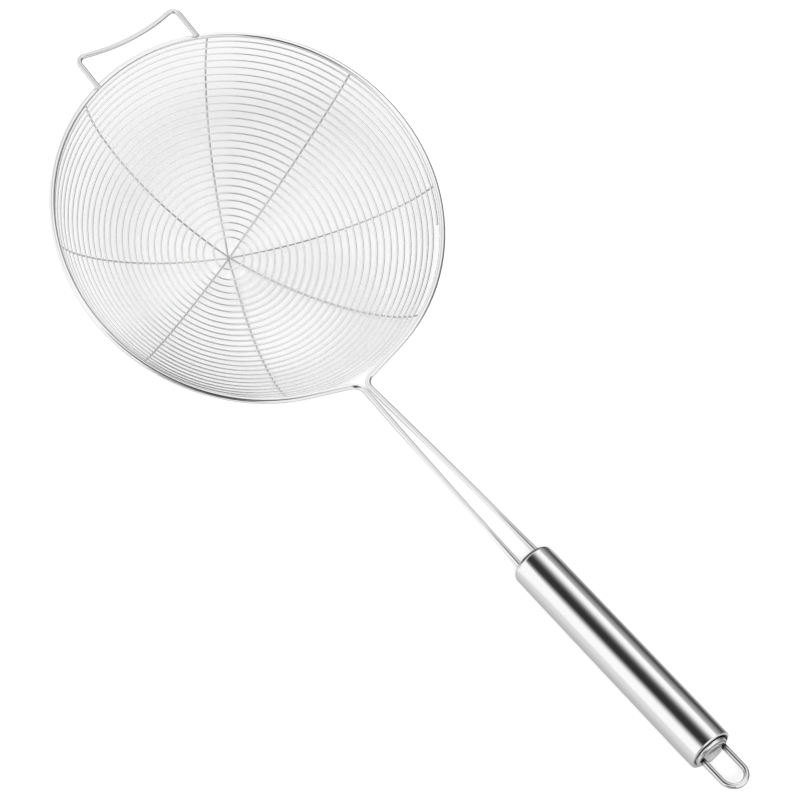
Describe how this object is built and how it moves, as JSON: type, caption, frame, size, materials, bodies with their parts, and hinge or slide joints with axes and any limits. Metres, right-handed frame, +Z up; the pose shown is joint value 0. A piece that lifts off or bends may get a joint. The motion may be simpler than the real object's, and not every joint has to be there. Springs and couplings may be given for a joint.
{
  "type": "spider skimmer",
  "caption": "Wire skimmer: a deep bowl of spiral wire on crossed wires, a rim wire running back into a round tubular handle, a pot rest and a hanging loop.",
  "frame": {"origin": "on the table under the middle of the whole outline, with the skimmer lying on its bowl and on the end of its handle", "axes": "+X from the bowl towards the hanging loop, +Z up from the table, +Y across the handle"},
  "size_m": [0.559, 0.24, 0.145],
  "materials": {
    "heavy_wire": "polished stainless steel wire",
    "thin_wire": "drawn stainless steel wire",
    "tube_steel": "polished stainless steel tube, very finely brushed",
    "plug_steel": "satin stainless steel sheet"
  },
  "bodies": {
    "root": {"cross_wire_1": "thin_wire", "cross_wire_2": "thin_wire", "cross_wire_3": "thin_wire", "cross_wire_4": "thin_wire", "front_plug": "plug_steel", "handle_tube": "tube_steel", "hanging_loop": "heavy_wire", "rear_plug": "plug_steel", "rest_hook": "heavy_wire", "rim_wire": "heavy_wire", "spiral_wire": "thin_wire"}
  },
  "joints": []
}
